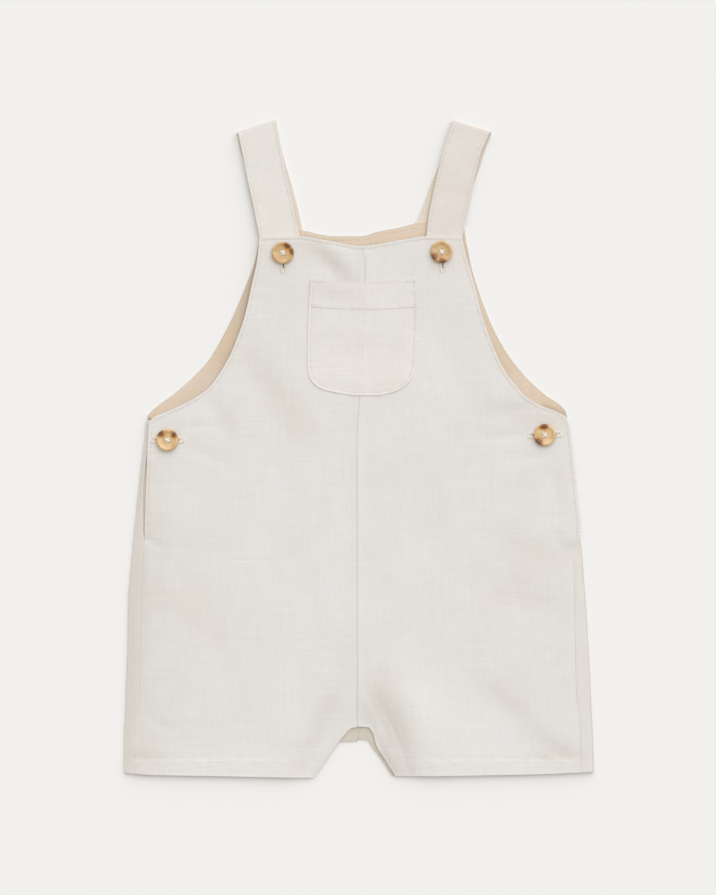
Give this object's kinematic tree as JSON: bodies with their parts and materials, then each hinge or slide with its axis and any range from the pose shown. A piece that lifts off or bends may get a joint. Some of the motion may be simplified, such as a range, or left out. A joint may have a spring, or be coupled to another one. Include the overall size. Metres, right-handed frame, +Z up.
{
  "type": "short dungarees",
  "caption": "Baby's short linen dungarees laid flat, with a bib and patch pocket, turned-over button straps, side button openings and wide hemmed legs.",
  "frame": {"origin": "middle of the outline, on the surface that the garment lies on", "axes": "+Y from the hems to the straps, +X to the right of someone who looks down on the front, +Z up from the surface through the back to the front"},
  "size_m": [0.3196, 0.4473, 0.0086],
  "materials": {
    "linen": "matt off-white plain-weave linen",
    "facing": "matt tan cotton facing",
    "horn": "polished honey-coloured horn look with brown patches"
  },
  "bodies": {
    "root": {"back_panel_left": "linen", "back_panel_right": "linen", "back_facing": "facing", "side_placket_left": "linen", "side_placket_right": "linen", "strap_left": "linen", "strap_right": "linen", "front_panel_left": "linen", "front_panel_right": "linen", "bib_pocket": "linen", "bib_button_left": "horn", "bib_button_right": "horn", "side_button_left": "horn", "side_button_right": "horn"}
  },
  "joints": []
}
